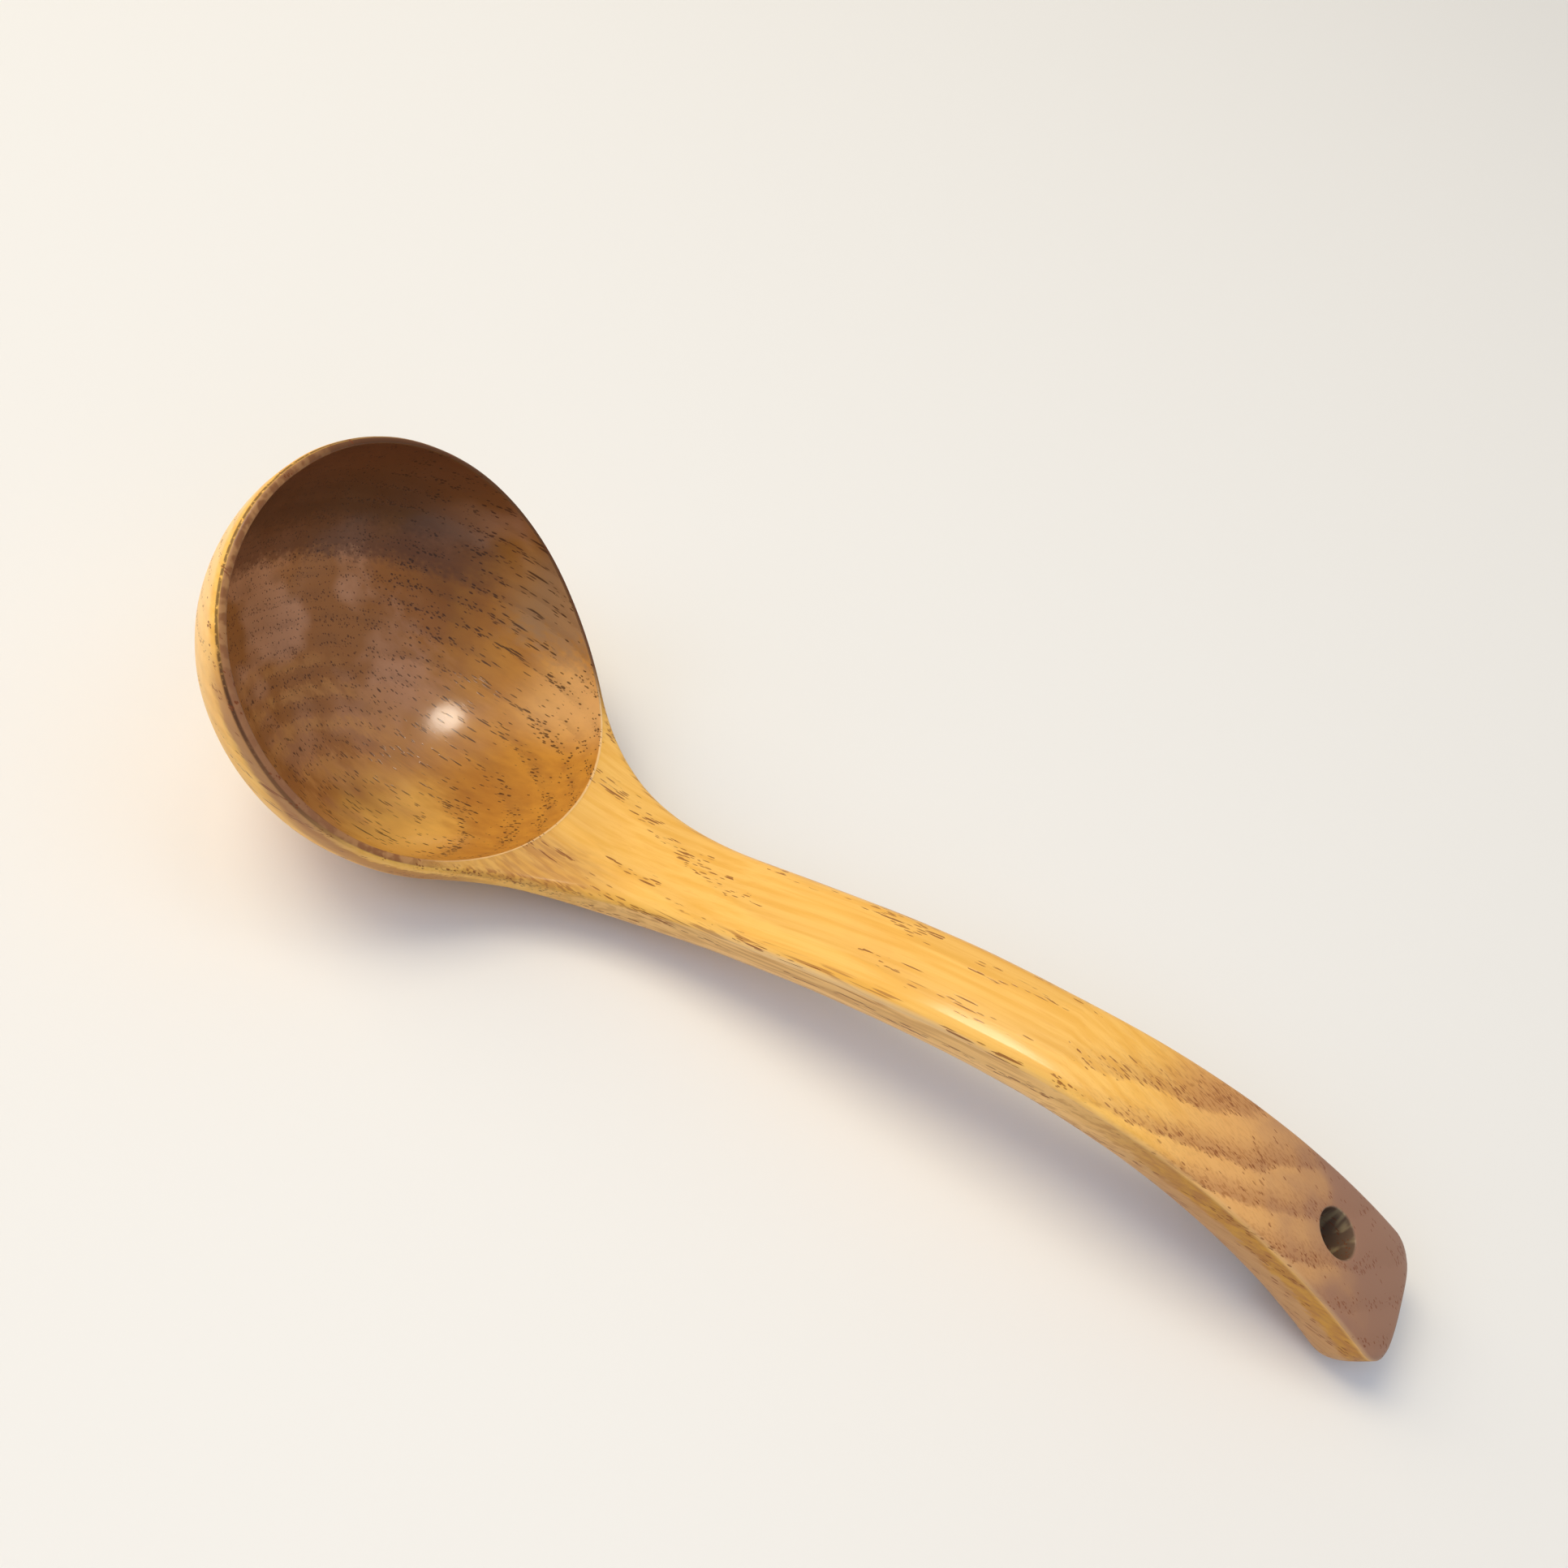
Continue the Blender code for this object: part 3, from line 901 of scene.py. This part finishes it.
def bowl_middle(n, grain, mottle):
    """Mauve and umber clouds, russet low down and on the right, with a few pale arcs on the left."""
    color = n.mix(grain.clouds(BOWL_CLOUDS, 0.42, 0.60), MAUVE, UMBER)
    color = n.tint(color, RUSSET, 0.50, n.step(n.wander(grain.rho, mottle, 5.0), 20.0, 8.0))
    color = n.tint(color, DEEP_RUSSET, 0.34, grain.patch(y=(2.0, -8.0), rho=(16.0, 23.0)))
    late_wood = grain.patch(phase=(0.35, 0.60), phase_end=(1.0, 0.80))
    on_left = grain.patch(rho=(19.0, 14.0), y=(6.0, -2.0), y_end=(-30.0, -18.0))
    color = n.tint(color, ARC_TAN, 0.66, late_wood, on_left, n.step(mottle, -0.5, 0.3))
    right = n.step(n.wander(grain.y, mottle, 6.0), 10.0, 22.0)
    color = n.tint(color, RUSSET, 0.92, right, grain.patch(rho=(34.0, 28.0)))
    shoulder = grain.patch(y=(20.0, 27.0), x=(-82.0, -89.0), rho=(37.0, 32.0))
    return n.tint(color, DEEP_RUSSET, 0.60, shoulder)


def bowl_neck_end(n, grain, mottle):
    """Golden wood by the neck, with a bright spot on the left, and a rosy wall on the right painted
    lighter as a sheen round the highlight.
    """
    color = n.tint(CAVITY_GOLD, RUSSET, 0.55, n.step(mottle, -0.5, 0.6))
    color = n.tint(color, BRIGHT_GOLD, 0.85, grain.spot(-72.0, -15.0, 16.0, mottle))
    color = n.tint(color, RUSSET, 0.32, grain.spot(-64.0, -1.0, 11.0, mottle))
    # Rosy wood on the right wall, painted lighter as a sheen round the lacquer's highlight.
    return n.tint(color, ROSE_AND_SHEEN, 0.65, grain.patch(y=(12.0, 22.0), x=(-76.0, -62.0), rho=(33.0, 27.0)))


def bowl_far_end(n, grain, color):
    """Dark heartwood with a feathered edge, and a strip of grey wood on the right."""
    feather = grain.signed(BOWL_FEATHER)
    far = n.wander(grain.rho, feather, 2.6)
    aside = n.times(grain.patch(x=(-76.0, -92.0)), n.step(grain.y, 25.0, 38.0, 1.0, 0.35))
    color = n.tint(color, DARK, 0.85, n.step(far, 29.5, 33.5), aside)
    color = n.tint(color, DARKEST, 0.72, n.step(far, 33.5, 40.0), aside)
    color = n.tint(color, DARK, 0.60, grain.patch(rho=(43.0, 51.0)))
    smoke = n.times(n.step(far, 30.0, 33.0), n.step(far, 38.0, 34.0), grain.patch(y=(34.0, 22.0)))
    color = n.tint(color, SMOKE, 0.22, smoke)
    grey = n.step(n.wander(grain.y, feather, 4.0), 26.0, 33.0)
    ash = n.mix(grain.patch(rho=(40.0, 47.0)), ASH, DARK_ASH)
    return n.tint(color, ash, 0.85, grey, grain.patch(x=(-85.0, -75.0), rho=(22.0, 29.0)))


def cavity_wood(n, grain):
    """The heartwood in the bowl: dark at its far end, mauve and orange brown, golden by the neck."""
    mottle = grain.signed(BOWL_MOTTLE)
    slow = n.signed(n.noise(grain.place, *NECK_CLOUDS))
    slanted = n.total(grain.x, n.times(grain.y, 0.12))
    ragged = n.wander(n.wander(slanted, slow, 12.0), mottle, 4.0)
    by_neck = n.step(ragged, -92.0, -68.0)
    color = n.mix(by_neck, bowl_middle(n, grain, mottle), bowl_neck_end(n, grain, mottle))
    return bowl_far_end(n, grain, color)


def tip_wood(n, grain, color):
    """Brown bands with flecks across the top by the tip, and the whole end past the hole mauve."""
    top = grain.patch(x=(42.0, 70.0), edge=(-0.4, 0.2))
    color = n.tint(color, TIP_TAN, 0.8, grain.patch(x=(50.0, 80.0)), top)
    color = n.tint(color, TIP_BAND, 0.50, grain.early, top)
    flecks = n.times(grain.streaks(TIP_FLECKS, 0.50, 0.64), n.mix_value(grain.early, 0.12, 0.67))
    color = n.mix(n.times(flecks, top), color, SIDE_BROWN)
    slanted = n.total(grain.x, n.times(grain.y, 0.5))
    ragged = n.wander(slanted, n.signed(n.noise(grain.place, *TIP_CLOUDS)), 14.0)
    return n.mix(n.times(n.step(ragged, 76.0, 101.0), top), color, TIP_MAUVE)


def side_wood(n, grain, color):
    """An olive-gold band under the crease of the handle, and streaked wood below it."""
    tip = grain.patch(x=(45.0, 75.0))
    streak = grain.streaks(SIDE_STREAKS, 0.45, 0.62)
    low = n.tint(SIDE_TAN, SIDE_BROWN, 0.45, streak)
    low = n.tint(low, SIDE_ROSE, 0.8, tip)
    tip_brown = n.mix_value(grain.streaks(SIDE_MOTTLE, 0.42, 0.60), 0.34, 0.72)
    brown = n.total(n.times(streak, 0.4), n.times(tip, tip_brown))
    olive = n.mix(brown, OLIVE, SIDE_BROWN)
    down = n.wander(grain.edge, grain.signed(SIDE_WOBBLE), 1.6)
    band = n.times(n.step(down, -4.4, -3.2), n.mix_value(tip, 0.12, 1.0))
    on_side = grain.patch(edge=(0.0, -0.5), x=(-48.0, -28.0))
    return n.tint(color, n.mix(band, low, olive), 0.85, on_side)


def crease_wood(n, grain, color):
    """Brown marks beside the crease, and brown rays in the corner between handle and bowl."""
    marks = n.times(grain.streaks(CREASE_LINES, 0.53, 0.62), grain.streaks(CREASE_PATCHES, 0.40, 0.55))
    beside = grain.patch(edge=(-1.9, -1.2), edge_end=(1.6, 0.8), x=(-64.0, -54.0), x_end=(50.0, 30.0))
    color = n.tint(color, SIDE_BROWN, 0.70, beside, marks)
    corner = grain.patch(x=(-58.0, -48.0), x_end=(-28.0, -42.0), y=(-2.0, -10.0), edge=(-0.5, 0.3))
    rays = n.mix_value(grain.streaks(CORNER_RAYS, 0.38, 0.66), 0.38, 0.68)
    return n.mix(n.times(corner, rays), color, SIDE_BROWN)


def bowl_side_wood(n, grain, color):
    """The outside of the bowl: painted light that makes its far end paler, and browner under the lip
    on the near side.
    """
    # Painted light: the far end of the outside, where the lamps from the left fall, made paler.
    color = n.tint(color, PALE_PAINTED_LIGHT, 0.70, grain.patch(edge=(-0.3, -1.5), x=(-86.0, -106.0)))
    wobble = grain.signed(SIDE_WOBBLE)
    under_lip = grain.patch(x=(-98.0, -88.0), x_end=(-62.0, -76.0), y=(-20.0, -28.0))
    near_lip = n.step(n.wander(grain.edge, wobble, 0.8), -3.6, -1.6)
    color = n.tint(color, LIP_ROSE, 0.80, under_lip, near_lip)
    keel = grain.patch(x=(-84.0, -74.0), x_end=(-40.0, -50.0), y=(-16.0, -26.0), edge=(-6.5, -4.0))
    below = n.step(n.wander(grain.edge, wobble, 1.6), -0.4, -1.4)
    return n.tint(color, SIDE_BROWN, 0.70, keel, below)


def painted_crease_highlight(n, grain, color):
    """A painted highlight: a pale line along the handle's edge, where it catches the light."""
    line = grain.patch(edge=(-0.8, -0.4), edge_end=(0.4, 0.0), x=(-20.0, 0.0))
    amount = n.mix_value(grain.patch(x=(26.0, 40.0)), 0.65, 0.18)
    return n.mix(n.times(line, amount), color, PALE_PAINTED_LIGHT)


def ring_lines(n, grain, color):
    """Faint broken lines of early wood, a little stronger in the bowl."""
    broken = n.mix_value(grain.streaks(BROKEN_RINGS, 0.40, 0.60), 0.05, 0.21)
    amount = n.mix_value(grain.cavity, 0.08, broken)
    return n.mix(n.times(grain.early, amount), color, EARLY)


def lip_wood(n, grain, color):
    """A tan lip with a dark line along its outside, browner and plainer on the far side, and a painted
    highlight on the cavity's edge by the neck.
    """
    # Painted highlight: a pale line along the cavity's crisp edge by the neck.
    by_neck = grain.patch(cavity=(0.05, 0.3), cavity_end=(0.98, 0.7), x=(-70.0, -60.0))
    color = n.tint(color, PALE_PAINTED_LIGHT, 0.6, by_neck)
    bowl = grain.patch(x=(-50.0, -62.0))
    far_side = grain.patch(y=(-6.0, 16.0))
    tan = n.mix(grain.clouds(LIP_CLOUDS, 0.40, 0.60), LIP_TAN, LIP_PALE)
    on_lip = n.times(grain.patch(lip=(0.22, 0.40)), bowl)
    color = n.mix(on_lip, color, n.mix(far_side, tan, LIP_DARK))
    low = grain.patch(x=(-98.0, -88.0), x_end=(-64.0, -76.0), y=(-22.0, -28.0))
    color = n.tint(color, LIP_ROSE, 0.80, low, grain.patch(lip=(0.20, 0.40)))
    color = n.tint(color, LIP_MAUVE, 0.70, low, grain.patch(lip=(0.0, 0.08), lip_end=(0.42, 0.26)))
    line = n.times(grain.patch(lip=(0.04, 0.12), lip_end=(0.34, 0.22)), bowl)
    teeth = n.times(grain.clouds(LIP_TEETH, 0.30, 0.48), grain.patch(x=(-76.0, -90.0)), 0.75)
    return n.mix(n.times(line, n.mix_value(far_side, teeth, 0.8)), color, PORE)


def bore_wood(n, grain):
    """Stained wood in the hanging hole, streaked along it."""
    around, along = BORE_STREAKS
    cells = n.vector(n.times(grain.x, around), n.times(grain.y, around), n.times(grain.z, along))
    return n.mix(n.step(n.noise(cells, 1.0), 0.48, 0.66), BORE_DARK, BORE_OLIVE)


def pore_marks(n, grain):
    """Clusters of vessels on the growth rings, and rows of fine ones in the bowl."""
    patchy = grain.streaks(PORE_PATCHES, 0.42, 0.54)
    right = n.math("MAXIMUM", grain.patch(y=(12.0, 26.0)), grain.patch(x=(-80.0, -64.0)))
    right = n.times(grain.cavity, right)
    ring_start = grain.patch(phase=(0.0, 0.04), phase_end=(0.50, 0.18))
    by_tip = n.step(grain.x, 40.0, 66.0, 0.55, 0.45)
    on_handle = n.times(patchy, grain.patch(cavity=(0.5, 0.0)), by_tip)
    low_down = n.step(grain.rho, 20.0, 12.0, 1.0, 0.55)
    in_bowl = n.times(right, n.mix_value(patchy, 0.25, 0.90), low_down)
    dense = n.times(ring_start, n.total(on_handle, in_bowl, n.times(grain.cavity, 0.04)))
    stray = n.total(n.times(patchy, 0.02), n.times(right, patchy, 0.16))
    big = grain.pores(BIG_PORES, n.total(dense, stray))
    wave = n.math("SINE", n.times(grain.rho, 2.0 * math.pi / PORE_ROWS))
    rows = n.mix_value(n.step(wave, 0.0, 0.45), 0.04, 0.89)
    inside = n.times(grain.cavity, rows, n.mix_value(right, 1.0, 0.20))
    at_tip = n.times(grain.patch(x=(60.0, 85.0)), 0.08)
    small = grain.pores(SMALL_PORES, n.total(inside, at_tip, n.times(ring_start, patchy, 0.90)))
    soft = n.step(grain.x, 42.0, 68.0, BIG_PORE_SHADE, TIP_PORE_SHADE)
    return n.math("MAXIMUM", n.times(big, soft), n.times(small, SMALL_PORE_SHADE))


def lacquer(n, grain, color, marks):
    """Clear coat over the wood, with the pores and fibres in slight relief."""
    relief = n.math("SUBTRACT", n.times(grain.drawn(FIBRES), FIBRE_RELIEF), marks)
    settings = {"Height": relief, "Strength": BUMP_STRENGTH, "Distance": BUMP_DISTANCE}
    bump = n.node("ShaderNodeBump", settings).outputs[0]
    rubbed = n.math("MAXIMUM", grain.patch(x=(-8.0, -26.0)), grain.patch(x=(36.0, 52.0)))
    coat = n.mix_value(rubbed, COAT_ARCH, COAT_THIN)
    inputs = {"Base Color": color, "Roughness": ROUGHNESS, "Specular IOR Level": SPECULAR}
    inputs.update({"Coat Weight": n.mix_value(grain.cavity, coat, COAT_BOWL)})
    inputs.update({"Coat Roughness": COAT_ROUGHNESS, "Normal": bump, "Coat Normal": bump})
    return n.node("ShaderNodeBsdfPrincipled", inputs).outputs[0]


def wood():
    material = bpy.data.materials.new("lacquered_wood_grain")
    n = Nodes(material)
    grain = Grain(n)
    color = gold_wood(n, grain)
    color = tip_wood(n, grain, color)
    color = side_wood(n, grain, color)
    color = crease_wood(n, grain, color)
    color = bowl_side_wood(n, grain, color)
    # Painted highlight along the handle's crease.
    color = painted_crease_highlight(n, grain, color)
    color = n.mix(grain.cavity, color, cavity_wood(n, grain))
    color = ring_lines(n, grain, color)
    color = lip_wood(n, grain, color)
    color = n.mix(n.mask("bore"), color, bore_wood(n, grain))
    marks = pore_marks(n, grain)
    color = n.mix(marks, color, n.mix(grain.cavity, HANDLE_PORE, PORE))
    n.node("ShaderNodeOutputMaterial", {"Surface": lacquer(n, grain, color, marks)})
    return material


# ---- floor, light and camera ------------------------------------------------------------------
FLOOR_HALF = 3.0
FLOOR_COLOR = srgb(235, 233, 227)
FLOOR_ROUGHNESS = 0.6
LIGHT_DISTANCE = 2.5
BOX_SIZE = 1.5
# Soft boxes round the ladle: name, azimuth and elevation in degrees, watts, colour.
SOFT_BOXES = (
    ("key", 182.0, 62.0, 27.0, (1.17, 1.0, 0.73)),
    ("fill", 270.0, 62.0, 5.6, (0.81, 1.0, 1.42)),
    ("side", 225.0, 35.0, 7.8, (0.81, 1.0, 1.42)),
    ("low", 180.0, 35.0, 14.0, (1.17, 1.0, 0.73)),
    ("back", 30.0, 62.0, 3.2, (0.90, 1.0, 1.20)),
    ("corner", 315.0, 35.0, 3.6, (0.78, 1.0, 1.50)),
)
# One smaller lamp, which only shines in the lacquer.
LAMP_AZIMUTH = 106.0
LAMP_ELEVATION = 73.0
LAMP_SIZE = 0.62
LAMP_POWER = 31.0
LAMP_COLOR = (1.0, 0.92, 0.78)
ROOM_COLOR = (0.95, 1.0, 1.08, 1.0)
ROOM_STRENGTH = 0.36
CAMERA_SENSOR = 36.0
CAMERA_LENS = 36.19
CAMERA_PLACE = (0.022487, -0.163334, 0.223785)
CAMERA_FORWARD = (-0.14404, 0.66961, -0.72861)
CAMERA_UP = (-0.48800, 0.59246, 0.64097)


def add_floor():
    mesh = bpy.data.meshes.new("floor")
    plan = [(-1.0, -1.0), (1.0, -1.0), (1.0, 1.0), (-1.0, 1.0)]
    corners = [(x * FLOOR_HALF, y * FLOOR_HALF, 0.0) for x, y in plan]
    mesh.from_pydata(corners, [], [(0, 1, 2, 3)])
    floor = bpy.data.objects.new("floor", mesh)
    bpy.context.scene.collection.objects.link(floor)
    material = bpy.data.materials.new("pale_floor")
    n = Nodes(material)
    inputs = {"Base Color": FLOOR_COLOR, "Roughness": FLOOR_ROUGHNESS}
    shader = n.node("ShaderNodeBsdfPrincipled", inputs)
    n.node("ShaderNodeOutputMaterial", {"Surface": shader.outputs[0]})
    mesh.materials.append(material)


def add_light(name, azimuth, elevation, size, power, color):
    """A round soft light aimed at the ladle."""
    data = bpy.data.lights.new(name, "AREA")
    data.shape = "DISK"
    data.size = size
    data.energy = power
    data.color = color
    light = bpy.data.objects.new(name, data)
    a, e = math.radians(azimuth), math.radians(elevation)
    away = Vector((math.cos(a) * math.cos(e), math.sin(a) * math.cos(e), math.sin(e)))
    light.location = away * LIGHT_DISTANCE
    light.rotation_euler = away.to_track_quat("Z", "Y").to_euler()
    bpy.context.scene.collection.objects.link(light)
    return light


def add_lights():
    """Soft boxes light the wood, one lamp shines in its lacquer, and the room is pale."""
    for name, azimuth, elevation, power, color in SOFT_BOXES:
        add_light(name, azimuth, elevation, BOX_SIZE, power, color).visible_glossy = False
    lamp = add_light("lamp", LAMP_AZIMUTH, LAMP_ELEVATION, LAMP_SIZE, LAMP_POWER, LAMP_COLOR)
    lamp.visible_diffuse = False
    world = bpy.data.worlds.new("soft_room")
    bpy.context.scene.world = world
    n = Nodes(world)
    room = {"Color": ROOM_COLOR, "Strength": ROOM_STRENGTH}
    shader = n.node("ShaderNodeBackground", room)
    n.node("ShaderNodeOutputWorld", {"Surface": shader.outputs[0]})
    bpy.context.scene.view_settings.view_transform = "Standard"


def add_camera():
    data = bpy.data.cameras.new("camera")
    data.sensor_width = CAMERA_SENSOR
    data.lens = CAMERA_LENS
    camera = bpy.data.objects.new("camera", data)
    forward = Vector(CAMERA_FORWARD)
    up = Vector(CAMERA_UP)
    turn = Matrix((forward.cross(up), up, -forward)).transposed()
    camera.matrix_world = Matrix.Translation(CAMERA_PLACE) @ turn.to_4x4()
    bpy.context.scene.collection.objects.link(camera)
    bpy.context.scene.camera = camera


def main():
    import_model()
    ladle = build_ladle(*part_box("ladle"))
    ladle.data.materials.append(wood())
    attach(ladle, "root")
    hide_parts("ladle")
    add_floor()
    add_lights()
    add_camera()


main()
